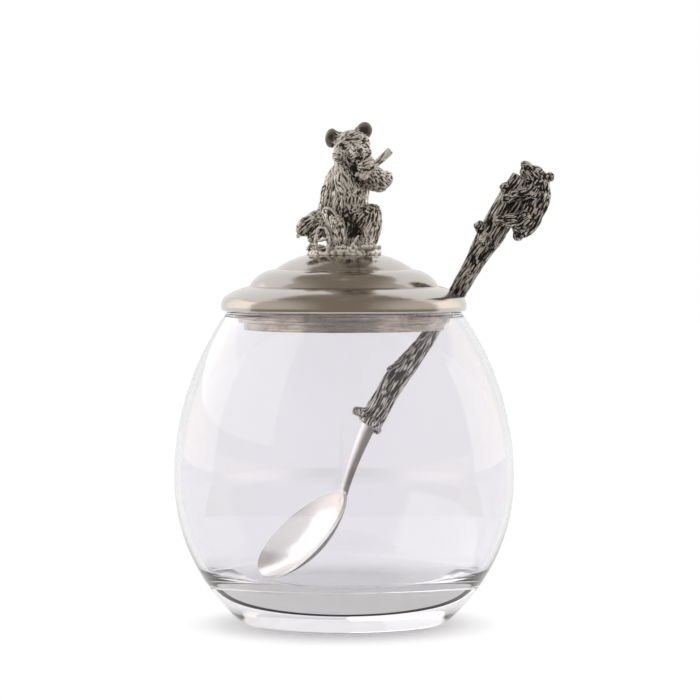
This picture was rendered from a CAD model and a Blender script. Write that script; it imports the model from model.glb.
"""Honey pot: a glass jar, its pewter lid with a seated bear, and a spoon with a branch for a handle.

Pieces are modelled in millimetres in the part's own frame and finished in metres.
"""

import math

import bmesh
import bpy
import numpy as np
from bpy.props import FloatProperty, FloatVectorProperty, PointerProperty
from mathutils import Matrix, Vector, noise


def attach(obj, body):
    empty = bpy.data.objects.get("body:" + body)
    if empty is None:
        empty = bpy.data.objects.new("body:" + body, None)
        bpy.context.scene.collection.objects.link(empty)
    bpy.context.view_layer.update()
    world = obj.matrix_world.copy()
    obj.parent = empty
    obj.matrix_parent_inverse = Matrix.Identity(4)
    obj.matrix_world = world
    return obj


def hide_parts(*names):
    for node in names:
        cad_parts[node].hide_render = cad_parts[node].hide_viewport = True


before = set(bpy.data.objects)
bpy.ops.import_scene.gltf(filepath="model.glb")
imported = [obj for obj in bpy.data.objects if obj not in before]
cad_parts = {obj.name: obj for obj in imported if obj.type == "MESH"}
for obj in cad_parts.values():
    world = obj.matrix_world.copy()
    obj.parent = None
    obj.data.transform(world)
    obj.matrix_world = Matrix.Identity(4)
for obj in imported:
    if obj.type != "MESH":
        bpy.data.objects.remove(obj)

bl_info = {
    "name": "Honey pot",
    "version": (1, 0, 0),
    "blender": (4, 5, 0),
    "location": "View3D > Sidebar > Honey pot",
    "description": "Builds the looks of a honey pot on its fixed frame",
    "category": "Object",
}

MM = 0.001
TABLE_LIFT = 0.0001
UP = Vector((0, 0, 1))
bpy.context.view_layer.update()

# Jar, in millimetres.
JAR_HEIGHT = 106.0
BELLY_RADIUS = 57.5
BELLY_HEIGHT = 50.0
LIP_RADIUS = 39.5
MOUTH_RADIUS = 37.1
INNER_BELLY_RADIUS = 55.3
BASE_CURVE = 64.0
HEEL = 11.0
FLOOR_HEIGHT = 13.4
FLOOR_EDGE = (45.2, 16.9)
FLOOR_CORNER = 10.0
LIP_ROUNDING = 0.9

# Lid, in millimetres.
SEAT_HEIGHT = 106.3
RIM_RADIUS = 41.5
LID_INSIDE = 34.4
CROWN_HEIGHT = 125.1
SCREW_HOLE = 1.7
NOTCH_HALF_WIDTH = 5.3
NOTCH_INNER_END = 29.5
CUT_CLEARANCE = 5.0
COLLAR_OUTSIDE = 35.8
COLLAR_STEP = 102.1
STEP_OUTSIDE = 33.9
STEP_BOTTOM = 99.6
COLLAR_BORE = STEP_OUTSIDE - 1.2
COLLAR_BEVEL = 0.3
PLINTH_TOP = 127.1
PLINTH_RADIUS = 12.7
PLINTH_BEVEL = 0.5
# Lid's outside from its foot up: each tier's upper edge, and the bulge and steps of the arc up to it.
LID_FOOT = (40.7, SEAT_HEIGHT)
LID_TIERS = (
    ((RIM_RADIUS, 107.2), 0.2, 10), ((40.4, 111.0), 0.45, 12), ((32.0, 114.6), 0.5, 18),
    ((23.3, 120.3), 1.35, 24), ((12.9, CROWN_HEIGHT), 0.6, 20),
)
# Screw's hole and the lid's underside, down to the seat.
LID_UNDERSIDE = (
    (SCREW_HOLE, CROWN_HEIGHT), (SCREW_HOLE, 123.1), (11.9, 123.1), (21.3, 118.3), (30.0, 112.6),
    (LID_INSIDE, 108.2), (LID_INSIDE, SEAT_HEIGHT),
)

# Spoon, in millimetres and degrees. The lean runs through the point where the branch crosses the lip.
SPOON_LEAN = math.radians(31)
SPOON_ROLL = math.radians(30)
LIP_CROSSING = Vector((34.067, 0, 106))
BRANCH_RISE = 52.0
BRANCH_DROP = 46.33
BRANCH_GIRTH = 4.5
BOWL_LENGTH = 41.0
BOWL_WIDTH = 26.5
BOWL_DEPTH = 6.4
BOWL_GAUGE = 1.1
BOWL_TILT = math.radians(16)
BOWL_TAPER = 0.10
BOWL_FULLNESS = 0.92
# Shank: half-widths and half-depths run from the branch to the bowl.
SHANK_LENGTH = 23.6
SHANK_DIP = 2.8
SHANK_BOW = 2.1
SHANK_TWIST = math.radians(18)
SHANK_WIDTHS = (2.8, 1.5)
SHANK_DEPTHS = (1.75, 1.25)

# Branch: place along the lean from the lip, radius, and sideways bow towards the upper left.
BRANCH_STATIONS = (
    (-46.3, 3.85, 2.1), (-40.7, 3.95, 2.3), (-36.1, 3.6, 2.4), (-31.0, 3.65, 2.4), (-26.8, 3.9, 2.4),
    (-22.7, 3.55, 1.6), (-18.0, 3.1, 1.0), (-12.5, 2.6, 0.3), (-5.6, 2.25, 0.0), (0.0, 2.4, -0.1),
    (5.2, 2.8, -0.2), (11.4, 2.85, -0.2), (18.7, 3.05, 0.0), (25.0, 3.75, 0.2), (29.6, 4.4, 0.0),
    (37.5, 4.45, 0.3), (45.8, 4.3, 0.5), (52.0, 3.9, 0.5),
)
# Stubs and knots: place along the lean, turn round the branch from the upper left towards the front in
# degrees, reach from the branch's middle, radius at the root and at the tip, and lift along the branch.
BRANCH_STUBS = (
    (28.6, 18, 6.4, 2.6, 1.5, 2.6), (27.6, 75, 5.6, 2.6, 1.7, 0.6), (44.5, 25, 5.4, 2.2, 1.4, 2.2),
    (-27.0, 15, 4.1, 2.3, 1.0, 0.8), (-42.8, 25, 7.6, 2.3, 1.2, -1.6), (-43.8, 110, 5.6, 2.2, 1.3, -1.2),
    (-45.2, 205, 4.6, 2.1, 1.2, -1.4), (14.0, 100, 3.9, 1.6, 0.9, 1.0), (-35.0, 70, 4.6, 1.5, 0.8, 1.2),
)

# Lumps of the seated bear: two ends and a girth, from the middle of the plinth's top. Left and right are the
# viewer's. Fur runs from the first end to the second.
BEAR_LUMPS = {
    "hips": ((0.8, 3.0, -3.0), (1.0, 1.5, 22.0), 8.4),
    "chest": ((1.5, 0.0, 30.5), (1.0, 1.5, 9.0), 7.3),
    "belly": ((1.6, -2.4, 25.0), (1.6, -2.4, 8.0), 6.4),
    "ruff": ((-1.2, -4.6, 29.0), (2.0, -7.0, 14.5), 3.5),
    "neck": ((2.5, -1.0, 36.0), (1.5, -0.5, 24.0), 5.4),
    "head": ((8.2, 1.1, 36.1), (-2.8, -4.1, 33.1), 5.5),
    "crown": ((2.0, -5.0, 35.4), (2.4, 3.6, 35.4), 4.7),
    "left_cheek": ((1.0, -6.6, 31.5), (-3.4, -3.6, 31.3), 2.9),
    "right_cheek": ((6.4, -4.8, 33.0), (7.6, -0.6, 31.4), 2.4),
    "muzzle": ((5.2, -10.2, 31.4), (3.0, -3.0, 33.2), 2.9),
    "chin": ((5.5, -8.9, 29.4), (3.4, -3.5, 30.0), 2.0),
    "nose": ((4.3, -9.9, 32.6), (5.9, -10.0, 32.5), 1.0),
    "left_brow": ((1.6, -7.0, 35.7), (-1.9, -5.7, 35.5), 0.95),
    "right_brow": ((4.9, -6.0, 37.4), (8.2, -3.4, 37.5), 0.95),
    "left_ear": ((-3.9, -0.6, 40.8), (-4.5, -0.8, 34.0), 2.3),
    "left_ear_root": ((-4.2, -0.6, 38.4), (0.4, -0.2, 35.8), 2.5),
    "right_ear": ((7.3, 1.6, 43.0), (6.5, 0.6, 37.0), 2.75),
    "right_ear_root": ((7.2, 1.2, 40.6), (3.4, 0.4, 37.4), 2.4),
    "left_upper_arm": ((-1.2, -0.4, 29.0), (-6.6, -2.8, 12.0), 3.5),
    "left_elbow": ((-5.0, -1.0, 16.5), (-7.4, -3.0, 11.5), 2.6),
    "left_forearm": ((-6.4, -3.4, 14.5), (-1.2, -8.8, 5.0), 2.7),
    "left_wrist": ((-2.4, -7.4, 11.5), (-1.2, -10.0, 0.4), 2.6),
    "left_knuckles": ((-2.6, -10.6, 1.0), (0.4, -11.0, 1.0), 1.1),
    "right_upper_arm": ((4.0, -0.6, 27.0), (14.4, -3.2, 20.4), 3.6),
    "right_elbow": ((11.6, -4.4, 24.6), (15.6, -2.6, 22.0), 3.3),
    "right_forearm": ((14.8, -3.6, 21.6), (7.6, -9.2, 27.0), 3.0),
    "right_paw": ((10.8, -8.4, 28.2), (4.6, -10.0, 26.8), 2.4),
    "right_thumb": ((7.6, -9.8, 30.0), (10.2, -9.2, 29.6), 1.1),
    "right_thigh": ((1.6, 1.0, 5.0), (11.4, -5.7, 14.0), 4.5),
    "right_shin": ((10.9, -5.2, 15.0), (7.8, -8.2, -1.0), 3.1),
    "right_foot": ((7.2, -4.0, 1.5), (9.0, -11.4, 1.2), 2.5),
    "left_thigh": ((-1.5, 1.0, 6.0), (-12.4, -2.6, 11.0), 4.3),
    "left_shin": ((-6.8, -3.0, 10.0), (-11.5, -5.6, 2.2), 2.5),
    "left_foot": ((-9.4, -3.4, 10.6), (-15.6, -5.0, 5.2), 3.0),
}
# Toes, claws and pads: two ends and a girth.
BEAR_TOES = (
    ((-14.2, -6.6, 8.6), (-15.4, -7.2, 8.0), 0.95), ((-15.0, -6.9, 6.6), (-16.2, -7.0, 6.0), 0.95),
    ((-15.0, -6.7, 4.9), (-16.0, -6.9, 4.0), 0.9), ((6.6, -11.0, 1.0), (6.5, -12.2, 0.6), 0.95),
    ((8.4, -11.4, 1.0), (8.5, -12.5, 0.6), 1.0), ((10.2, -10.8, 1.0), (10.7, -11.9, 0.6), 0.95),
    ((11.6, -9.4, 0.9), (12.3, -10.2, 0.6), 0.85), ((5.2, -10.2, 25.8), (3.6, -10.9, 24.2), 0.6),
    ((6.5, -10.8, 25.2), (5.4, -11.6, 23.4), 0.6), ((7.8, -10.8, 25.0), (7.4, -11.6, 23.2), 0.6),
    ((-2.4, -11.2, 0.9), (-2.7, -12.2, 0.4), 0.6), ((-1.1, -11.6, 0.9), (-1.2, -12.4, 0.4), 0.6),
    ((0.2, -11.4, 0.9), (0.4, -12.3, 0.4), 0.6),
)
# Carved, dark and worn places seen from the front: x, z, reach, depth, and darkening, below 0 where worn.
BEAR_MARKS = (
    (-0.4, 34.2, 0.8, 0.45, 0.7), (6.5, 36.0, 0.8, 0.45, 0.7), (5.1, 32.9, 0.8, -0.1, 0.7),
    (4.2, 30.5, 0.55, 0.35, 0.8), (5.1, 30.2, 0.55, 0.35, 0.8), (6.0, 30.4, 0.55, 0.35, 0.8),
    (5.1, 31.2, 0.4, 0.2, 0.6), (-4.4, 38.0, 2.0, 0.5, 0.2), (7.0, 40.4, 2.1, 0.5, 0.2),
    (3.4, 27.0, 2.6, 0.0, 0.5), (1.0, 10.0, 3.4, 0.0, 0.45), (3.6, 6.0, 2.2, 0.4, 0.6),
    (11.0, 12.0, 4.2, 0.0, 0.24), (-12.5, 7.5, 3.8, 0.0, 0.24), (10.0, 23.0, 2.6, 0.0, 0.2),
    (-2.8, 26.5, 4.0, 0.0, -0.14), (2.6, 32.6, 2.6, 0.0, -0.12), (1.6, 19.0, 2.6, 0.0, -0.08),
    (-2.6, 10.0, 2.4, 0.0, -0.1), (4.6, 23.0, 2.2, 0.0, 0.25), (9.0, 34.5, 3.0, 0.0, 0.2),
)
BEAR_FOOT = -0.6
STICK_ENDS = ((5.6, -10.2, 23.7), (15.6, -7.7, 33.0))
STICK_RADIUS = 1.2
STICK_GRAIN = 0.2

# Lumps of the climbing bear, from the branch's top: X to the upper left, Y to the front, Z up the branch.
CLIMBER_LUMPS = {
    "back": ((-6.6, 1.2, 2.6), (-8.3, 0.8, -13.5), 4.3),
    "rump": ((-8.2, 1.0, -3.5), (-7.8, 0.6, -18.0), 4.2),
    "neck": ((-3.4, 1.8, 4.2), (-7.2, 1.0, -3.0), 3.5),
    "head": ((1.2, 2.1, 4.0), (-7.2, 1.4, 2.6), 2.7),
    "muzzle": ((4.0, 2.4, 4.4), (-1.8, 2.0, 3.3), 1.75),
    "jaw": ((3.0, 2.2, 2.6), (-3.2, 1.8, 0.6), 2.1),
    "upper_ear": ((-3.4, 2.6, 4.5), (-2.9, 4.3, 4.3), 1.35),
    "outer_ear": ((-6.9, 0.8, 5.0), (-6.7, 2.3, 5.0), 1.7),
    "front_shoulder": ((-5.5, 3.0, 0.5), (-4.4, 3.9, -5.0), 2.9),
    "front_arm": ((-5.8, 3.6, -1.0), (2.2, 4.9, -8.4), 2.1),
    "front_paw": ((0.2, 4.8, -7.8), (3.2, 4.2, -9.2), 1.6),
    "front_haunch": ((-8.0, 2.6, -8.0), (-5.0, 3.6, -16.5), 3.3),
    "front_leg": ((-6.5, 3.8, -12.0), (0.4, 4.9, -16.6), 2.4),
    "hind_paw": ((-1.4, 4.8, -15.6), (1.9, 4.4, -17.0), 1.6),
    "heel": ((-7.4, 0.8, -14.5), (-8.2, 1.2, -19.2), 1.9),
    "back_arm": ((-5.8, -1.6, -0.6), (2.2, -4.4, -6.8), 2.1),
    "back_leg": ((-7.5, -1.2, -12.0), (0.6, -4.4, -15.6), 2.5),
}
CLIMBER_TOES = (
    ((2.6, 4.9, -8.2), (3.9, 4.5, -8.8), 0.55), ((2.4, 5.1, -9.2), (3.6, 4.7, -9.9), 0.55),
    ((1.9, 5.2, -10.0), (2.9, 4.8, -10.9), 0.55), ((1.4, 5.2, -16.0), (2.6, 4.7, -16.6), 0.6),
    ((1.2, 5.3, -17.0), (2.3, 4.8, -17.8), 0.6), ((0.6, 5.3, -17.8), (1.5, 4.9, -18.8), 0.6),
)

# Ground cover on the plinth: a path's points from the plinth's middle, and its radius.
PLINTH_TWIGS = (
    (((-9.0, -9.6, -0.4), (-9.3, -10.2, 3.2), (-8.8, -10.0, 6.8)), 0.62),
    (((-5.6, -10.6, -0.4), (-5.2, -10.9, 3.4), (-5.9, -10.4, 6.2)), 0.62),
    (((-9.1, -10.2, 2.6), (-7.2, -11.2, 3.0), (-5.3, -10.9, 3.6)), 0.5),
    (((-8.9, -9.9, 6.2), (-7.4, -10.6, 7.4), (-5.8, -10.4, 6.4)), 0.5),
    (((1.6, -11.4, -0.2), (3.4, -11.2, 2.4), (5.0, -10.6, 4.6)), 0.5),
    (((-11.8, 0.0, 0.2), (-10.4, 5.0, 1.4), (-6.0, 10.2, 0.4)), 0.55),
    (((11.2, 3.0, 0.2), (8.0, 8.0, 1.6), (2.0, 11.4, 0.3)), 0.55),
)
PLINTH_PEBBLES = (
    ((-11.4, -4.8, 0.4), (-12.3, -5.0, 1.0), 1.5), ((-7.2, -9.9, 0.2), (-7.4, -10.3, 1.0), 1.4),
    ((3.6, -11.0, 0.0), (4.6, -10.8, 0.8), 1.3), ((-3.6, -11.2, 0.0), (-3.0, -11.0, 0.6), 1.0),
    ((11.2, -4.0, 0.0), (11.4, -3.2, 0.8), 1.3), ((-10.6, 4.4, 0.0), (-10.0, 5.4, 0.8), 1.5),
    ((6.4, 9.4, 0.0), (7.2, 8.8, 0.9), 1.6), ((-2.0, 11.2, 0.0), (-0.8, 11.2, 0.8), 1.4),
    ((1.2, -11.8, 0.0), (1.9, -11.6, 0.6), 0.9), ((-10.2, -7.6, 0.0), (-9.6, -7.8, 0.7), 1.1),
)

# Castings: the strands' width, length and sway, the seed of their pattern, the patina's middle and contrast,
# and the rounds of smoothing.
CASTINGS = {
    "plinth": ((1.5, 1.5, 0.8), 5, (0.46, 0.55), 4),
    "bear": ((0.45, 2.6, 1.6), 2, (0.38, 0.95), 8),
    "stick": ((0.55, 3.0, 0.8), 9, (0.44, 0.7), 3),
    "branch": ((0.36, 5.0, 0.4), 4, (0.15, 1.1), 5),
    "climber": ((0.38, 3.2, 0.7), 6, (0.13, 1.25), 6),
}
PLINTH_STICK_RELIEF = 0.3
# Level of the patina on lumps without strands.
EAR_LEVEL = 0.3
TOE_LEVEL = 0.62
CLIMBER_TOE_LEVEL = 0.6
# Share of clouds and of hollows in the patina, and the rounds of smoothing that find the hollows.
CLOUD_SHARE = 0.09
HOLLOW_SHARE = 0.6
HOLLOW_ROUNDS = 45
LUMP_SHARPNESS = 9.0
# Polish: gloss, and the spread, scale and height of its marks.
LID_POLISH = (0.11, 0.14, 150.0, 0.2)
SCREW_POLISH = (0.28, 0.12, 400.0, 0.15)

# Surroundings that show in metal or through glass: name, path in metres away from the pot and up, span in
# degrees round the pot from the front towards the right, tones in front and at the sides, and seeing rays.
ROOM_PATH = (
    (0.17, 0.002), (1.60, 0.003), (1.57, 0.40), (1.45, 0.78), (1.24, 1.10),
    (0.95, 1.36), (0.60, 1.54), (0.30, 1.62), (0.05, 1.65),
)
ROOM_TONES = ((0.29, 0.245, 0.20), (0.72, 0.67, 0.60))
LOW_TONES = ((0.07, 0.06, 0.05), (1.9, 1.7, 1.45))
BOX_PATH = ((1.40, 0.02), (1.40, 0.85))
BOX_TONES = ((0.9, 0.87, 0.82), (1.6, 1.5, 1.36))
SPOON_TONES = ((2.2, 2.16, 2.08),) * 2
REFLECTORS = (
    ("dark_room", ROOM_PATH, (-96, 96), ROOM_TONES, "glossy"),
    ("ceiling", ((0.05, 1.65), (1.0, 1.5)), (84, 276), ROOM_TONES, "glossy"),
    ("left_box", BOX_PATH, (-142, -96), BOX_TONES, "glossy transmission"),
    ("right_box", BOX_PATH, (96, 142), BOX_TONES, "glossy transmission"),
    ("low_room", ((1.50, 0.002), (1.50, 0.16)), (-96, 96), LOW_TONES, "transmission"),
    ("spoon_box", ((1.30, 0.30), (0.60, 1.40)), (-178, -50), SPOON_TONES, "transmission"),
)
PALING = (0.35, 1.5)

# Table, in metres: the shadow's edge, and the glow and the tone within and beyond it.
SHADOW_EDGE = (0.028, 0.058)
TABLE_GLOW = (0.13, 1.0)
TABLE_TONE = (0.82, 0.0)

# Lamps: name, place in metres, width, height, power and tint.
WARM = (1, 0.95, 0.87)
LAMPS = (
    ("top_light", (0.1, 0.2, 1.3), 1.2, 1.2, 5.0, (1, 1, 1)),
    ("left_light", (-1.0, -0.7, 0.5), 0.5, 0.9, 2.2, WARM),
    ("right_light", (1.0, -0.7, 0.5), 0.5, 0.9, 2.2, WARM),
)
LAMP_AIM = Vector((0, 0, 0.1))
CAMERA_PLACE = (0.002, -0.95, 0.134)
CAMERA_AIM = Vector((0.002, 0, 0.093))
CAMERA_LENS = 144.6
WHITE = (1, 1, 1, 1)


def measure(name, description, default):
    return FloatProperty(name=name, description=description, default=default, unit="LENGTH", precision=5)


def hue(name, description, default):
    return FloatVectorProperty(name=name, description=description, default=default, subtype="COLOR")


class HoneyPotLooks(bpy.types.PropertyGroup):
    """Finishes and relief of the honey pot."""

    fur_depth: measure("Fur depth", "Height of the fur's tufts", 0.0004)
    bark_depth: measure("Bark depth", "Height of the bark's ridges", 0.00055)
    casting_grain: measure("Casting grain", "Spacing of the sculpted mesh", 0.00022)
    glass_tint: hue("Glass tint", "Colour of the clear glass", (0.875, 0.866, 0.892))
    pewter: hue("Pewter", "Polished pewter of the lid", (0.56, 0.525, 0.49))
    collar_pewter: hue("Collar", "Brushed pewter of the collar", (0.38, 0.345, 0.31))
    patina: hue("Patina", "Recesses of the branch and its bear", (0.022, 0.019, 0.016))
    bear_patina: hue("Bear's patina", "Recesses of the seated bear", (0.07, 0.059, 0.048))
    worn_pewter: hue("Worn pewter", "Pewter on the ridges", (0.95, 0.91, 0.855))
    steel: hue("Steel", "Polished steel of the spoon", (0.97, 0.955, 0.935))
    satin_steel: hue("Satin steel", "Unpolished steel of the spoon", (0.34, 0.32, 0.31))


# Shapes.


def arc(start, stop, bulge, count):
    """Points from start to stop on an arc that stands off the chord by bulge, to the right of it."""
    start, stop = Vector(start), Vector(stop)
    chord = stop - start
    right = Vector((chord.y, -chord.x)).normalized()
    radius = chord.length_squared / 8 / bulge + bulge / 2
    centre = (start + stop) / 2 + right * (bulge - radius)
    half = math.asin(min(1, chord.length / 2 / abs(radius)))
    turns = [half * (2 * step / count - 1) for step in range(count + 1)]
    along = chord.normalized()
    return [tuple(centre + right * radius * math.cos(t) + along * radius * math.sin(t)) for t in turns]


def swept(centre, radius, start, stop, count):
    """Points of a circle in the profile's plane, from one turn to another."""
    steps = [start + (stop - start) * step / count for step in range(count + 1)]
    return [(centre[0] + radius * math.cos(t), centre[1] + radius * math.sin(t)) for t in steps]


def line(bm, spots):
    """Points and edges of an open line."""
    points = [bm.verts.new(spot) for spot in spots]
    return points + [bm.edges.new(pair) for pair in zip(points, points[1:])]


def spun(profile, steps):
    """Turn a profile, given as radius and height, round the upright axis."""
    bm = bmesh.new()
    geom = line(bm, [(max(radius, 0), 0, height) for radius, height in profile])
    bmesh.ops.spin(bm, geom=geom, cent=(0, 0, 0), axis=UP, angle=2 * math.pi, steps=steps, use_merge=True)
    bmesh.ops.remove_doubles(bm, verts=bm.verts, dist=0.001)
    bmesh.ops.recalc_face_normals(bm, faces=bm.faces)
    return bm


def bend(sag, reach):
    """Radius of an arc that leaves its tangent by sag over a reach."""
    return (sag**2 + reach**2) / 2 / sag


def upright_to(direction):
    """Turn that brings the upright axis to a direction."""
    return UP.rotation_difference(direction).to_matrix().to_4x4()


def eggs(lumps, detail=4):
    """Egg-shaped lumps, each between two points."""
    bm = bmesh.new()
    for start, stop, girth in lumps:
        start, stop = Vector(start), Vector(stop)
        along = stop - start
        shape = Matrix.Diagonal((girth, girth, along.length / 2, 1))
        place = Matrix.Translation((start + stop) / 2) @ upright_to(along) @ shape
        bmesh.ops.create_icosphere(bm, subdivisions=detail, radius=1, matrix=place)
    return bm


def tube(bm, rings, segments):
    """Closed tube through rings, each a matrix and two half-widths."""
    loops = []
    for place, wide, deep in rings:
        shape = place @ Matrix.Diagonal((deep, wide, 1, 1))
        made = bmesh.ops.create_circle(bm, segments=segments, radius=1, matrix=shape)["verts"]
        loops.append({edge for vert in made for edge in vert.link_edges})
    for first, second in zip(loops, loops[1:]):
        bmesh.ops.bridge_loops(bm, edges=list(first | second))
    for edges in (loops[0], loops[-1]):
        bmesh.ops.edgeloop_fill(bm, edges=list(edges))
    bmesh.ops.recalc_face_normals(bm, faces=bm.faces)


def path_rings(points, radius, count):
    """Rings along a smooth path through three points, thinner at its ends."""
    start, middle, stop = (Vector(point) for point in points)
    control = middle * 2 - (start + stop) / 2
    rings = []
    for step in range(count + 1):
        t = step / count
        spot = start * (1 - t) ** 2 + control * 2 * t * (1 - t) + stop * t**2
        heading = (control - start) * (1 - t) + (stop - control) * t
        thick = radius * (0.8 + 0.2 * math.sin(math.pi * t))
        rings.append((Matrix.Translation(spot) @ upright_to(heading), thick, thick))
    return rings


def straight_rings(start, stop, radii):
    """Evenly spaced rings on a straight line."""
    turn = upright_to(stop - start)
    spots = [start.lerp(stop, step / (len(radii) - 1)) for step in range(len(radii))]
    return [(Matrix.Translation(spot) @ turn, radius, radius) for spot, radius in zip(spots, radii)]


def spoon_matrix(roll, along):
    """Frame on the leaning spoon: X to the upper left, Y to the front, Z up the branch."""
    lean = Vector((math.sin(SPOON_LEAN), 0, math.cos(SPOON_LEAN)))
    upper_left = Vector((-math.cos(SPOON_LEAN), 0, math.sin(SPOON_LEAN)))
    front = Vector((0, -1, 0))
    turn = Matrix((upper_left, front, lean)).transposed().to_4x4()
    return Matrix.Translation(LIP_CROSSING + lean * along) @ Matrix.Rotation(roll, 4, lean) @ turn


def as_mesh(bm, name):
    """Mesh of a bmesh, which is used up."""
    mesh = bpy.data.meshes.new(name)
    bm.to_mesh(mesh)
    bm.free()
    return mesh


def merge(bm, other):
    """Add another bmesh, which is used up."""
    extra = as_mesh(other, "extra")
    bm.from_mesh(extra)
    bpy.data.meshes.remove(extra)


def linked(name, data):
    """New object in the scene."""
    item = bpy.data.objects.new(name, data)
    bpy.context.scene.collection.objects.link(item)
    return item


def modified(item, *others):
    """Mesh of an object with its modifiers. The object and its helpers are removed."""
    bpy.context.view_layer.update()
    made = bpy.data.meshes.new_from_object(item.evaluated_get(bpy.context.evaluated_depsgraph_get()))
    for rough in (item, *others):
        mesh = rough.data
        bpy.data.objects.remove(rough)
        bpy.data.meshes.remove(mesh)
    return made


# Sculpting of the castings.


def fused(bm, grain):
    """One closed skin over everything in the bmesh."""
    rough = linked("rough", as_mesh(bm, "rough"))
    skin = rough.modifiers.new("skin", "REMESH")
    skin.mode = "VOXEL"
    skin.voxel_size = grain
    return modified(rough)


def rows(items, name, width, kind=np.float64):
    """One property of a mesh's points or edges as an array."""
    values = np.zeros(len(items) * width, dtype=kind)
    items.foreach_get(name, values)
    return values.reshape(-1, width)


class Skin:
    """A mesh's points, outward directions and neighbours as arrays."""

    def __init__(self, mesh):
        self.mesh = mesh
        self.points = rows(mesh.vertices, "co", 3)
        pairs = rows(mesh.edges, "vertices", 2, np.int64)
        self.first = np.concatenate([pairs[:, 0], pairs[:, 1]])
        self.second = np.concatenate([pairs[:, 1], pairs[:, 0]])
        self.share = 1 / np.maximum(np.bincount(self.first, minlength=len(self.points)), 1)

    def mean(self, values):
        """Each point's mean over its neighbours."""
        if values.ndim == 2:
            return np.stack([self.mean(column) for column in values.T], axis=1)
        return np.bincount(self.first, weights=values[self.second], minlength=len(values)) * self.share

    def eased(self, values, rounds, strength=0.6):
        for step in range(rounds):
            values = values + strength * (self.mean(values) - values)
        return values

    def write(self):
        self.mesh.vertices.foreach_set("co", self.points.astype(np.float32).ravel())
        self.mesh.update()

    def outward(self):
        self.write()
        return rows(self.mesh.vertex_normals, "vector", 3)

    def keep(self, patina):
        """Write the points back, and the patina as the mesh's attribute."""
        layer = self.mesh.attributes.new("patina", "FLOAT", "POINT")
        layer.data.foreach_set("value", np.clip(patina, 0, 1).astype(np.float32))
        self.write()


def noise_at(points):
    return np.array([noise.noise(place) for place in points.tolist()])


def nearness(points, lumps):
    """How much each point belongs to each lump."""
    reach = []
    for start, stop, girth in lumps:
        start, stop = np.array(start), np.array(stop)
        along = stop - start
        half = np.linalg.norm(along) / 2
        axis = along / (2 * half)
        local = points - (start + stop) / 2
        depth = local @ axis
        across = np.sqrt(np.maximum((local**2).sum(1) - depth**2, 0))
        reach.append(np.sqrt((depth / half) ** 2 + (across / girth) ** 2))
    reach = np.stack(reach, axis=1)
    weight = np.exp(-LUMP_SHARPNESS * (reach - reach.min(1, keepdims=True)))
    return weight / weight.sum(1, keepdims=True)


def strands(points, lumps, comb, seed, bare):
    """Relief of tufts that run along each lump, from 0 in the partings to 1 on the ridges."""
    width, length, sway = comb
    weight = nearness(points, lumps)
    relief = np.zeros(len(points))
    total = np.full(len(points), 1e-6)
    for index, (start, stop, girth) in enumerate(lumps):
        chosen = np.nonzero(weight[:, index] > 0.12)[0]
        total[chosen] += weight[chosen, index]
        if index in bare:
            relief[chosen] += weight[chosen, index] * bare[index]
            continue
        turn = np.array(upright_to(Vector(stop) - Vector(start)).to_3x3())
        local = points[chosen] @ turn
        drift = noise_at(local * 0.16 + seed)
        local = local + drift[:, None] * np.array((sway, -sway, 0.0))
        local = local / np.array((width, width, length)) + seed * 7.3 + index * 3.1
        ridge = 0.5 + noise_at(local) * 1.35 + noise_at(local * 2.3 + 11.0) * 0.6
        relief[chosen] += weight[chosen, index] * ridge
    return np.clip(relief / total, 0, 1)


def sculpt(bm, casting, lumps, grain, depth, marks=(), bare=None):
    """Fuse lumps to one skin, comb it, carve the marks, and darken the recesses.

    Bare holds the level of each lump that stays smooth.
    """
    comb, seed, (shade, contrast), rounds = CASTINGS[casting]
    skin = Skin(fused(bm, grain))
    skin.points = skin.eased(skin.points, rounds)
    normals = skin.outward()
    hollow = ((skin.eased(skin.points, HOLLOW_ROUNDS) - skin.points) * normals).sum(1)
    tufts = strands(skin.points, lumps, comb, seed, bare or {})
    lift = (tufts - 0.5) * depth
    patina = shade + contrast * (tufts - 0.5) + CLOUD_SHARE * noise_at(skin.points * 0.2 + seed)
    patina -= HOLLOW_SHARE * np.clip(hollow, -0.3, 0.6)
    for x, z, reach, carve, dark in marks:
        away = ((skin.points[:, 0] - x) ** 2 + (skin.points[:, 2] - z) ** 2) / reach**2
        seen = np.clip(-normals[:, 1] * 2.0, 0, 1) * np.exp(-away * 1.4)
        lift -= seen * carve
        patina -= seen * dark
    skin.points = skin.points + normals * lift[:, None]
    skin.keep(patina)
    return skin.mesh


# Finishes.


def new_material(name):
    material = bpy.data.materials.new(name)
    material.use_nodes = True
    tree = material.node_tree
    shader = next(node for node in tree.nodes if node.type == "BSDF_PRINCIPLED")
    return material, tree, shader


def feed(tree, node, inputs):
    """Set a node's inputs, by name or number, to values or to other nodes' outputs."""
    for name, value in inputs.items():
        if isinstance(value, bpy.types.NodeSocket):
            tree.links.new(value, node.inputs[name])
        else:
            node.inputs[name].default_value = value


def put(tree, kind, inputs=None, **options):
    """New node with its options and inputs."""
    node = tree.nodes.new(kind)
    for name, value in options.items():
        setattr(node, name, value)
    feed(tree, node, inputs or {})
    return node


def own_place(tree):
    """Coordinates on the object itself."""
    return put(tree, "ShaderNodeTexCoord").outputs["Object"]


def clouds(tree, place, scale, detail, roughness=0.5):
    inputs = {"Vector": place, "Scale": scale, "Detail": detail, "Roughness": roughness}
    return put(tree, "ShaderNodeTexNoise", inputs).outputs["Fac"]


def maths(tree, operation, *values, clamp=False):
    inputs = dict(enumerate(values))
    return put(tree, "ShaderNodeMath", inputs, operation=operation, use_clamp=clamp).outputs[0]


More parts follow.
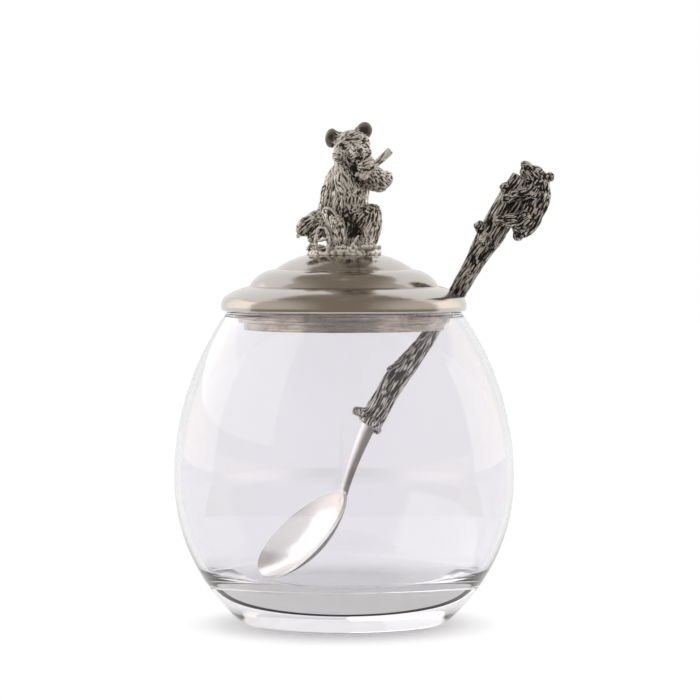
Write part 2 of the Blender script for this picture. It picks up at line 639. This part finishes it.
def ramp(tree, value, start=(0, 1), stop=(0, 1), kind="LINEAR"):
    """Value brought from one range to another."""
    limits = dict(zip(("From Min", "From Max", "To Min", "To Max"), (*start, *stop)))
    node = put(tree, "ShaderNodeMapRange", {"Value": value, **limits}, interpolation_type=kind)
    return node.outputs["Result"]


def mixed(tree, share, first, second):
    """Colour between two colours."""
    return put(tree, "ShaderNodeMix", {"Factor": share, 6: first, 7: second}, data_type="RGBA").outputs[2]


def seen_rays(tree):
    """1 on rays that reach the eye straight, in metal or through glass, and 0 on others."""
    light = put(tree, "ShaderNodeLightPath").outputs
    straight = maths(tree, "MAXIMUM", light["Is Camera Ray"], light["Is Glossy Ray"])
    return maths(tree, "MAXIMUM", straight, light["Is Transmission Ray"])


def colour(value):
    return (*value, 1.0)


def new_group(name, inputs, outputs):
    """New shader group: its tree, the sockets given to it, and the node that takes its results."""
    group = bpy.data.node_groups.new(name, "ShaderNodeTree")
    for way, sockets in (("INPUT", inputs), ("OUTPUT", outputs)):
        for label, kind in sockets.items():
            group.interface.new_socket(label, in_out=way, socket_type="NodeSocket" + kind)
    return group, group.nodes.new("NodeGroupInput").outputs, group.nodes.new("NodeGroupOutput")


def shared(name, build):
    """Shader group, built at its first use."""
    return bpy.data.node_groups.get(name) or build(name)


def antique_group(name):
    """Shader group: patina in the recesses, worn metal on the ridges."""
    inputs = {"Patina": "Float", "Dark": "Color", "Worn": "Color"}
    group, given, result = new_group(name, inputs, {"Color": "Color", "Roughness": "Float"})
    shift = maths(group, "MULTIPLY_ADD", clouds(group, own_place(group), 420.0, 4.0, 0.6), 0.30, -0.15)
    total = maths(group, "ADD", given["Patina"], shift, clamp=True)
    tone = mixed(group, ramp(group, total, (0.08, 0.62), kind="SMOOTHSTEP"), given["Dark"], given["Worn"])
    feed(group, result, {"Color": tone, "Roughness": ramp(group, total, stop=(0.62, 0.24))})
    return group


def handling_group(name):
    """Shader group: faint clouds and wipe marks on polished metal."""
    inputs = {"Gloss": "Float", "Spread": "Float", "Scale": "Float"}
    group, given, result = new_group(name, inputs, {"Roughness": "Float", "Height": "Float"})
    cloud = clouds(group, own_place(group), given["Scale"], 5.0, 0.62)
    rough = maths(group, "MULTIPLY_ADD", cloud, given["Spread"], given["Gloss"])
    feed(group, result, {"Roughness": rough, "Height": cloud})
    return group


def antique_metal(name, dark, worn):
    """Metal whose tone follows the mesh's patina."""
    material, tree, shader = new_material(name)
    patina = put(tree, "ShaderNodeAttribute", attribute_name="patina").outputs["Fac"]
    inputs = {"Patina": patina, "Dark": colour(dark), "Worn": colour(worn)}
    made = put(tree, "ShaderNodeGroup", inputs, node_tree=shared("Antiqued metal", antique_group)).outputs
    feed(tree, shader, {"Metallic": 0.66, "Base Color": made["Color"], "Roughness": made["Roughness"]})
    return material


def polished_metal(name, tint, gloss, spread, scale, bump):
    material, tree, shader = new_material(name)
    inputs = {"Gloss": gloss, "Spread": spread, "Scale": scale}
    made = put(tree, "ShaderNodeGroup", inputs, node_tree=shared("Handling marks", handling_group)).outputs
    dents = put(tree, "ShaderNodeBump", {"Strength": bump, "Distance": 0.0004, "Height": made["Height"]})
    feed(tree, shader, {"Metallic": 1.0, "Base Color": colour(tint)})
    feed(tree, shader, {"Roughness": made["Roughness"], "Normal": dents.outputs["Normal"]})
    return material


def clear_glass(name, tint):
    """Glass that tints the light falling through it."""
    material, tree, shader = new_material(name)
    feed(tree, shader, {"Base Color": colour(tint), "Roughness": 0, "IOR": 1.5, "Transmission Weight": 1})
    output = next(node for node in tree.nodes if node.type == "OUTPUT_MATERIAL")
    shadow = put(tree, "ShaderNodeLightPath").outputs["Is Shadow Ray"]
    clear = put(tree, "ShaderNodeBsdfTransparent", {"Color": colour(tint)}).outputs["BSDF"]
    mix = put(tree, "ShaderNodeMixShader", {"Fac": shadow, 1: shader.outputs["BSDF"], 2: clear})
    feed(tree, output, {"Surface": mix.outputs["Shader"]})
    return material


def brushed_metal(name, tint):
    """Strip metal with fine lines along its length and uneven tarnish."""
    material, tree, shader = new_material(name)
    place = own_place(tree)
    stretch = put(tree, "ShaderNodeMapping", {"Vector": place, "Scale": (160.0, 160.0, 3200.0)})
    lines = clouds(tree, stretch.outputs["Vector"], 1.0, 3.0)
    both = maths(tree, "MULTIPLY", lines, clouds(tree, place, 110.0, 5.0, 0.65))
    worn = ramp(tree, both, (0.12, 0.38))
    dark, bright = (colour(min(channel * share, 1) for channel in tint) for share in (0.55, 1.45))
    feed(tree, shader, {"Metallic": 1.0, "Base Color": mixed(tree, worn, dark, bright)})
    feed(tree, shader, {"Roughness": ramp(tree, worn, stop=(0.30, 0.17))})
    return material


def dulled(tint):
    """Pewter less bright than on the lid's bear."""
    return [channel * 0.8 for channel in tint]


def settle(name, made, body, nodes, material, crease=math.radians(35)):
    """Finish a piece from a bmesh or mesh: in metres, smooth, sharp at its creases, riding on its body."""
    mesh = as_mesh(made, name) if isinstance(made, bmesh.types.BMesh) else made
    mesh.name = name
    mesh.transform(Matrix.Scale(MM, 4))
    mesh.shade_smooth()
    mesh.set_sharp_from_angle(angle=crease)
    mesh.materials.append(material)
    piece = linked(name, mesh)
    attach(piece, body)
    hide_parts(*nodes)


def notch_cutter():
    """Upright block in the notch's outline."""
    bm = bmesh.new()
    middle = NOTCH_INNER_END + NOTCH_HALF_WIDTH
    low, high = STEP_BOTTOM - CUT_CLEARANCE, CROWN_HEIGHT + CUT_CLEARANCE
    outer = RIM_RADIUS + CUT_CLEARANCE
    round_end = swept((middle, 0), NOTCH_HALF_WIDTH, math.pi / 2, math.pi * 3 / 2, 32)
    outline = round_end + [(outer, -NOTCH_HALF_WIDTH), (outer, NOTCH_HALF_WIDTH)]
    face = bm.faces.new([bm.verts.new((x, y, low)) for x, y in outline])
    raised = bmesh.ops.extrude_face_region(bm, geom=[face])["geom"]
    lifted = [part for part in raised if isinstance(part, bmesh.types.BMVert)]
    bmesh.ops.translate(bm, verts=lifted, vec=(0, 0, high - low))
    bmesh.ops.recalc_face_normals(bm, faces=bm.faces)
    return bm


def notched(bm):
    """Cut the spoon's notch out of a turned piece."""
    turned = linked("turned", as_mesh(bm, "turned"))
    cutter = linked("cutter", as_mesh(notch_cutter(), "cutter"))
    cut = turned.modifiers.new("notch", "BOOLEAN")
    cut.operation = "DIFFERENCE"
    cut.solver = "EXACT"
    cut.object = cutter
    return modified(turned, cutter)


# Operators, one for each piece.


class HONEYPOT_OT_jar(bpy.types.Operator):
    """Blown jar with a heavy base"""

    bl_idname = "honey_pot.jar"
    bl_label = "Jar"

    def execute(self, context):
        base_centre = (BELLY_RADIUS - BASE_CURVE, BELLY_HEIGHT)
        heel_x = base_centre[0] + math.sqrt((BASE_CURVE - HEEL) ** 2 - (BELLY_HEIGHT - HEEL) ** 2)
        heel_turn = math.atan2(HEEL - base_centre[1], heel_x - base_centre[0])
        rise = JAR_HEIGHT - BELLY_HEIGHT
        outer = bend(BELLY_RADIUS - LIP_RADIUS, rise)
        inner = bend(INNER_BELLY_RADIUS - MOUTH_RADIUS, rise)
        side = bend(INNER_BELLY_RADIUS - FLOOR_EDGE[0], BELLY_HEIGHT - FLOOR_EDGE[1])
        floor = bend(FLOOR_EDGE[1] - FLOOR_HEIGHT, FLOOR_EDGE[0])
        side_centre = Vector((INNER_BELLY_RADIUS - side, BELLY_HEIGHT))
        floor_centre = Vector((0, FLOOR_HEIGHT + floor))
        reach_side, reach_floor = side - FLOOR_CORNER, floor - FLOOR_CORNER
        apart = floor_centre - side_centre
        share = (reach_side**2 - reach_floor**2 + apart.length_squared) / 2 / apart.length_squared
        height = math.sqrt(max(reach_side**2 - share**2 * apart.length_squared, 0))
        square = Vector((apart.y, -apart.x)).normalized()
        corner = side_centre + apart * share + square * height
        side_turn = math.atan2(*(corner - side_centre).yx)
        floor_turn = math.atan2(*(corner - floor_centre).yx)
        outer_top = math.asin((rise - LIP_ROUNDING) / outer)
        inner_top = math.asin((rise - LIP_ROUNDING) / inner)
        lip_out = BELLY_RADIUS - outer + outer * math.cos(outer_top)
        lip_in = INNER_BELLY_RADIUS - inner + inner * math.cos(inner_top)
        lip = JAR_HEIGHT - LIP_ROUNDING
        profile = [(heel_x * step / 12, 0) for step in range(12)]
        profile += swept((heel_x, HEEL), HEEL, -math.pi / 2, heel_turn, 14)
        profile += swept(base_centre, BASE_CURVE, heel_turn, 0, 40)[1:]
        profile += swept((BELLY_RADIUS - outer, BELLY_HEIGHT), outer, 0, outer_top, 44)[1:]
        profile += arc((lip_out, lip), (lip_in, lip), LIP_ROUNDING, 12)[1:]
        profile += swept((INNER_BELLY_RADIUS - inner, BELLY_HEIGHT), inner, inner_top, 0, 44)[1:]
        profile += swept(side_centre, side, 0, side_turn, 32)[1:]
        profile += swept(corner, FLOOR_CORNER, side_turn, floor_turn, 28)[1:]
        profile += swept(floor_centre, floor, floor_turn, -math.pi / 2, 32)[1:]
        bm = spun(profile, 256)
        finish = clear_glass("clear_glass", context.scene.honey_pot.glass_tint)
        settle("jar_glass", bm, "jar", ["glass_jar"], finish)
        return {"FINISHED"}


class HONEYPOT_OT_lid(bpy.types.Operator):
    """Three-tiered lid with a full rim and the spoon's notch"""

    bl_idname = "honey_pot.lid"
    bl_label = "Lid"

    def execute(self, context):
        profile = [(LID_INSIDE, SEAT_HEIGHT), LID_FOOT]
        edge = LID_FOOT
        for end, bulge, steps in LID_TIERS:
            profile += arc(edge, end, bulge, steps)[1:]
            edge = end
        profile += LID_UNDERSIDE
        made = notched(spun(profile, 256))
        finish = polished_metal("polished_pewter", context.scene.honey_pot.pewter, *LID_POLISH)
        settle("lid_shell", made, "lid", ["lid_dome"], finish, math.radians(20))
        return {"FINISHED"}


class HONEYPOT_OT_collar(bpy.types.Operator):
    """Brushed ring under the lid"""

    bl_idname = "honey_pot.collar"
    bl_label = "Collar"

    def execute(self, context):
        soft = COLLAR_BEVEL
        profile = [
            (COLLAR_BORE, SEAT_HEIGHT), (COLLAR_BORE, STEP_BOTTOM + soft), (COLLAR_BORE + soft, STEP_BOTTOM),
            (STEP_OUTSIDE - soft, STEP_BOTTOM), (STEP_OUTSIDE, STEP_BOTTOM + soft),
            (STEP_OUTSIDE, COLLAR_STEP - soft), (STEP_OUTSIDE + soft, COLLAR_STEP),
            (COLLAR_OUTSIDE - soft, COLLAR_STEP), (COLLAR_OUTSIDE, COLLAR_STEP + soft),
            (COLLAR_OUTSIDE, SEAT_HEIGHT), (COLLAR_BORE, SEAT_HEIGHT),
        ]
        made = notched(spun(profile, 256))
        finish = brushed_metal("brushed_pewter", context.scene.honey_pot.collar_pewter)
        settle("collar_band", made, "lid", ["lid_collar"], finish, math.radians(30))
        return {"FINISHED"}


class HONEYPOT_OT_plinth(bpy.types.Operator):
    """Rough ground plate with twigs and pebbles round the bear's feet"""

    bl_idname = "honey_pot.plinth"
    bl_label = "Plinth"

    def execute(self, context):
        looks = context.scene.honey_pot
        edge, shoulder = PLINTH_RADIUS, PLINTH_TOP - PLINTH_BEVEL
        profile = [(0, CROWN_HEIGHT), (edge, CROWN_HEIGHT), (edge, shoulder)]
        profile += [(edge - PLINTH_BEVEL, PLINTH_TOP), (0, PLINTH_TOP)]
        bm = spun(profile, 96)
        lumps = [((0, -edge, 0), (0, edge, 0), edge)]
        cover = eggs(PLINTH_PEBBLES, 3)
        for points, radius in PLINTH_TWIGS:
            tube(cover, path_rings(points, radius, 14), 12)
        bmesh.ops.translate(cover, verts=cover.verts, vec=UP * PLINTH_TOP)
        merge(bm, cover)
        mesh = sculpt(bm, "plinth", lumps, looks.casting_grain / MM, PLINTH_STICK_RELIEF)
        finish = antique_metal("antique_ground", looks.bear_patina, looks.worn_pewter)
        settle("plinth_ground", mesh, "lid", ["finial_plinth"], finish, math.pi)
        return {"FINISHED"}


class HONEYPOT_OT_bear(bpy.types.Operator):
    """Seated bear, cast with combed fur"""

    bl_idname = "honey_pot.bear"
    bl_label = "Bear"

    def execute(self, context):
        looks = context.scene.honey_pot
        lumps = list(BEAR_LUMPS.values()) + list(BEAR_TOES)
        bare = {list(BEAR_LUMPS).index(name): EAR_LEVEL for name in ("left_ear", "right_ear", "nose")}
        bare.update((index, TOE_LEVEL) for index in range(len(BEAR_LUMPS), len(lumps)))
        bm = eggs(lumps)
        whole = bm.verts[:] + bm.edges[:] + bm.faces[:]
        bmesh.ops.bisect_plane(bm, geom=whole, plane_co=UP * BEAR_FOOT, plane_no=-UP, clear_outer=True)
        bmesh.ops.holes_fill(bm, edges=bm.edges)
        mesh = sculpt(bm, "bear", lumps, looks.casting_grain / MM, looks.fur_depth / MM, BEAR_MARKS, bare)
        mesh.transform(Matrix.Translation(UP * PLINTH_TOP))
        finish = antique_metal("antique_bear", looks.bear_patina, looks.worn_pewter)
        settle("bear_figure", mesh, "lid", ["finial_bear"], finish, math.pi)
        return {"FINISHED"}


class HONEYPOT_OT_stick(bpy.types.Operator):
    """Stick that the bear holds to its mouth"""

    bl_idname = "honey_pot.stick"
    bl_label = "Stick"

    def execute(self, context):
        looks = context.scene.honey_pot
        start, stop = (Vector(end) for end in STICK_ENDS)
        radii = []
        for t in (step / 40 for step in range(41)):
            knot = 0.12 if 0.45 < t < 0.55 else 0
            radii.append(STICK_RADIUS * (1 + 0.09 * math.sin(9 * t) + knot))
        bm = bmesh.new()
        tube(bm, straight_rings(start, stop, radii), 32)
        lumps = [(*STICK_ENDS, STICK_RADIUS)]
        mesh = sculpt(bm, "stick", lumps, STICK_GRAIN, PLINTH_STICK_RELIEF)
        mesh.transform(Matrix.Translation(UP * PLINTH_TOP))
        finish = antique_metal("antique_stick", looks.bear_patina, looks.worn_pewter)
        settle("bear_stick", mesh, "lid", ["finial_branch"], finish, math.pi)
        return {"FINISHED"}


class HONEYPOT_OT_fasteners(bpy.types.Operator):
    """Plain steel for the screw and washer inside the lid"""

    bl_idname = "honey_pot.fasteners"
    bl_label = "Screw and washer"

    def execute(self, context):
        finish = polished_metal("screw_steel", (0.6, 0.6, 0.6), *SCREW_POLISH)
        for node in ("finial_screw", "finial_washer"):
            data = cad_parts[node].data
            data.materials.clear()
            data.materials.append(finish)
        return {"FINISHED"}


class HONEYPOT_OT_spoon(bpy.types.Operator):
    """Polished bowl on its curved shank"""

    bl_idname = "honey_pot.spoon"
    bl_label = "Spoon"

    def execute(self, context):
        looks = context.scene.honey_pot
        neck = -BRANCH_DROP - SHANK_LENGTH
        rolled = spoon_matrix(SPOON_ROLL, neck)
        to_neck = Vector((-math.sin(BOWL_TILT), 0, math.cos(BOWL_TILT)))
        out = Vector((math.cos(BOWL_TILT), 0, math.sin(BOWL_TILT)))
        turn = Matrix((to_neck, out.cross(to_neck), out)).transposed().to_4x4()
        middle = Vector((-SHANK_DIP, 0, 0)) - to_neck * BOWL_LENGTH / 2
        bowl_place = rolled @ Matrix.Translation(middle) @ turn
        depth = BOWL_DEPTH + BOWL_GAUGE
        quarter = [math.pi / 2 * step / 40 for step in range(41)]
        bm = spun([(math.sin(t), -math.cos(t)) for t in quarter], 128)
        for vert in bm.verts:
            across = math.hypot(vert.co.x, vert.co.y)
            fall = (1 - min(1.0, across) ** 2) ** BOWL_FULLNESS
            vert.co = Vector((
                vert.co.x * BOWL_LENGTH / 2,
                vert.co.y * BOWL_WIDTH / 2 * (1 - BOWL_TAPER * vert.co.x),
                -fall * depth,
            ))
        bmesh.ops.recalc_face_normals(bm, faces=bm.faces)
        if sum(face.normal.z for face in bm.faces) > 0:
            bmesh.ops.reverse_faces(bm, faces=bm.faces)
        bmesh.ops.solidify(bm, geom=bm.faces[:], thickness=BOWL_GAUGE)
        bmesh.ops.transform(bm, matrix=bowl_place, verts=bm.verts)
        upright = spoon_matrix(0, 0).to_3x3()
        rings = []
        for t in (step / 40 for step in range(49)):
            dip = Matrix.Translation((-SHANK_DIP * t**2.6, 0, 0))
            bow = Matrix.Translation(upright @ Vector((SHANK_BOW * max(0, 1 - t) ** 1.4, 0, 0)))
            wide = SHANK_WIDTHS[0] + (SHANK_WIDTHS[1] - SHANK_WIDTHS[0]) * min(1, t) ** 1.3
            deep = SHANK_DEPTHS[0] + (SHANK_DEPTHS[1] - SHANK_DEPTHS[0]) * min(1, t)
            twist = Matrix.Rotation(SHANK_TWIST * (1 - min(1, t)), 4, "Z")
            place = spoon_matrix(SPOON_ROLL, -BRANCH_DROP - t * SHANK_LENGTH)
            rings.append((bow @ place @ dip @ twist, wide, deep))
        shank = bmesh.new()
        tube(shank, rings, 40)
        merge(bm, shank)
        skin = Skin(as_mesh(bm, "spoon"))
        normals = skin.outward()
        in_bowl = (skin.points - np.array(rolled.translation)) @ np.array(upright @ UP) < 0
        facing = normals @ (bowl_place.to_3x3() @ UP)
        aside = normals @ (bowl_place.to_3x3() @ Vector((0.35, 1.0, 0)))
        inner = np.clip(facing * 1.5 + 0.5, 0, 1)
        bowl_tone = inner * (0.5 + 0.8 * facing) + (1 - inner) * (0.34 + 0.5 * aside)
        shank_tone = 0.02 + 0.8 * (normals @ (upright @ Vector((1.0, -0.2, 0.2))))
        skin.keep(np.where(in_bowl, bowl_tone, shank_tone))
        finish = antique_metal("polished_steel", looks.satin_steel, looks.steel)
        settle("spoon_steel", skin.mesh, "spoon", ["spoon_bowl"], finish, math.radians(40))
        return {"FINISHED"}


class HONEYPOT_OT_branch(bpy.types.Operator):
    """Cast branch with bark, knots and cut stubs"""

    bl_idname = "honey_pot.branch"
    bl_label = "Branch handle"

    def execute(self, context):
        looks = context.scene.honey_pot
        bm = bmesh.new()
        places, radii, bows = (np.array(column) for column in zip(*BRANCH_STATIONS))
        fine = np.linspace(places[0], places[-1], 160)
        window = np.ones(9) / 9

        def eased(values):
            return np.convolve(np.pad(np.interp(fine, places, values), 4, mode="edge"), window, "valid")

        rings = [
            (spoon_matrix(0, along) @ Matrix.Translation((bow, 0, 0)), radius, radius)
            for along, radius, bow in zip(fine, eased(radii), eased(bows))
        ]
        tube(bm, rings, 56)
        for along, turn, reach, root, tip, lift in BRANCH_STUBS:
            base = spoon_matrix(0, along)
            bow = float(np.interp(along, places, bows))
            heading = Vector((math.cos(math.radians(turn)), math.sin(math.radians(turn)), 0)) * reach
            start = base @ Vector((bow, 0, 0))
            stop = base @ (Vector((bow, 0, lift)) + heading)
            taper = [root + (tip - root) * step / 4 for step in range(5)]
            tube(bm, straight_rings(start, stop, taper), 28)
        ends = [tuple(spoon_matrix(0, along).translation) for along in (places[0], places[-1])]
        lumps = [(*ends, BRANCH_GIRTH)]
        mesh = sculpt(bm, "branch", lumps, looks.casting_grain / MM, looks.bark_depth / MM)
        finish = antique_metal("bark_pewter", looks.patina, dulled(looks.worn_pewter))
        settle("branch_bark", mesh, "spoon", ["spoon_handle"], finish, math.pi)
        return {"FINISHED"}


class HONEYPOT_OT_climber(bpy.types.Operator):
    """Small bear that clings to the branch"""

    bl_idname = "honey_pot.climber"
    bl_label = "Climbing bear"

    def execute(self, context):
        looks = context.scene.honey_pot
        lumps = list(CLIMBER_LUMPS.values()) + list(CLIMBER_TOES)
        bare = {index: CLIMBER_TOE_LEVEL for index in range(len(CLIMBER_LUMPS), len(lumps))}
        bm = eggs(lumps)
        mesh = sculpt(bm, "climber", lumps, looks.casting_grain / MM, looks.fur_depth / MM, bare=bare)
        mesh.transform(spoon_matrix(0, BRANCH_RISE))
        finish = antique_metal("antique_climber", looks.patina, dulled(looks.worn_pewter))
        settle("climbing_bear", mesh, "spoon", ["handle_bear"], finish, math.pi)
        return {"FINISHED"}


def reflector(name, path, span, tones, seen_by):
    """Wall seen only in metal or through glass, paling from the front to the sides."""
    bm = bmesh.new()
    first, last = (math.radians(turn) for turn in span)
    geom = line(bm, [(math.sin(first) * away, -math.cos(first) * away, up) for away, up in path])
    bmesh.ops.spin(bm, geom=geom, cent=(0, 0, 0), axis=UP, angle=last - first, steps=48)
    card = linked(name, as_mesh(bm, name))
    material, tree, shader = new_material(name)
    across = put(tree, "ShaderNodeSeparateXYZ", {"Vector": own_place(tree)}).outputs["X"]
    paling = ramp(tree, maths(tree, "ABSOLUTE", across), PALING, kind="SMOOTHSTEP")
    glow = mixed(tree, paling, *(colour(tone) for tone in tones))
    feed(tree, shader, {"Base Color": (0, 0, 0, 1), "Roughness": 1.0, "Specular IOR Level": 0.0})
    feed(tree, shader, {"Emission Color": glow, "Emission Strength": 1.0})
    card.data.materials.append(material)
    for ray in ("camera", "diffuse", "glossy", "transmission", "shadow"):
        setattr(card, "visible_" + ray, ray in seen_by.split())


class HONEYPOT_OT_stage(bpy.types.Operator):
    """White table, mirrored surroundings, soft lights and the camera"""

    bl_idname = "honey_pot.stage"
    bl_label = "Stage"

    def execute(self, context):
        scene = context.scene
        bm = bmesh.new()
        lifted = Matrix.Translation((0, 0, TABLE_LIFT))
        bmesh.ops.create_grid(bm, x_segments=8, y_segments=8, size=3.0, matrix=lifted)
        table = linked("table", as_mesh(bm, "table"))
        material, tree, shader = new_material("white_table")
        away = put(tree, "ShaderNodeVectorMath", {0: own_place(tree)}, operation="LENGTH").outputs["Value"]
        paling = ramp(tree, away, SHADOW_EDGE, TABLE_GLOW, "SMOOTHSTEP")
        fading = ramp(tree, away, SHADOW_EDGE, TABLE_TONE, "SMOOTHSTEP")
        glow = maths(tree, "MULTIPLY", seen_rays(tree), paling)
        feed(tree, shader, {"Base Color": fading, "Roughness": 0.9, "Specular IOR Level": 0.1})
        feed(tree, shader, {"Emission Color": WHITE, "Emission Strength": glow})
        table.data.materials.append(material)

        for row in REFLECTORS:
            reflector(*row)

        world = bpy.data.worlds.new("white_tent")
        scene.world = world
        world.use_nodes = True
        tree = world.node_tree
        back = next(node for node in tree.nodes if node.type == "BACKGROUND")
        feed(tree, back, {"Color": WHITE, "Strength": ramp(tree, seen_rays(tree), stop=(0.6, 1.0))})

        for name, spot, width, height, power, tint in LAMPS:
            lamp = bpy.data.lights.new(name, "AREA")
            lamp.shape = "RECTANGLE"
            lamp.size = width
            lamp.size_y = height
            lamp.energy = power
            lamp.color = tint
            source = linked(name, lamp)
            source.location = spot
            source.rotation_euler = (LAMP_AIM - Vector(spot)).to_track_quat("-Z", "Y").to_euler()
            for ray in ("camera", "glossy", "transmission"):
                setattr(source, "visible_" + ray, False)

        lens = bpy.data.cameras.new("camera")
        lens.sensor_width = 36.0
        lens.lens = CAMERA_LENS
        lens.clip_end = 20.0
        camera = linked("camera", lens)
        camera.location = CAMERA_PLACE
        camera.rotation_euler = (CAMERA_AIM - camera.location).to_track_quat("-Z", "Y").to_euler()
        scene.camera = camera
        scene.view_settings.view_transform = "Standard"
        return {"FINISHED"}


class HONEYPOT_PT_pieces(bpy.types.Panel):
    """Pieces and finishes of the honey pot"""

    bl_label = "Honey pot"
    bl_idname = "HONEYPOT_PT_pieces"
    bl_space_type = "VIEW_3D"
    bl_region_type = "UI"
    bl_category = "Honey pot"

    def draw(self, context):
        looks = context.scene.honey_pot
        for name in looks.__annotations__:
            self.layout.prop(looks, name)
        for operator in PIECES:
            self.layout.operator(operator.bl_idname)


PIECES = (
    HONEYPOT_OT_jar, HONEYPOT_OT_lid, HONEYPOT_OT_collar, HONEYPOT_OT_plinth, HONEYPOT_OT_bear,
    HONEYPOT_OT_stick, HONEYPOT_OT_fasteners, HONEYPOT_OT_spoon, HONEYPOT_OT_branch, HONEYPOT_OT_climber,
    HONEYPOT_OT_stage,
)
CLASSES = (HoneyPotLooks, *PIECES, HONEYPOT_PT_pieces)


def register():
    for item in CLASSES:
        bpy.utils.register_class(item)
    bpy.types.Scene.honey_pot = PointerProperty(type=HoneyPotLooks)


def unregister():
    del bpy.types.Scene.honey_pot
    for item in reversed(CLASSES):
        bpy.utils.unregister_class(item)


def main():
    register()
    bpy.ops.honey_pot.jar()
    bpy.ops.honey_pot.lid()
    bpy.ops.honey_pot.collar()
    bpy.ops.honey_pot.plinth()
    bpy.ops.honey_pot.bear()
    bpy.ops.honey_pot.stick()
    bpy.ops.honey_pot.fasteners()
    bpy.ops.honey_pot.spoon()
    bpy.ops.honey_pot.branch()
    bpy.ops.honey_pot.climber()
    bpy.ops.honey_pot.stage()


if __name__ == "__main__":
    main()
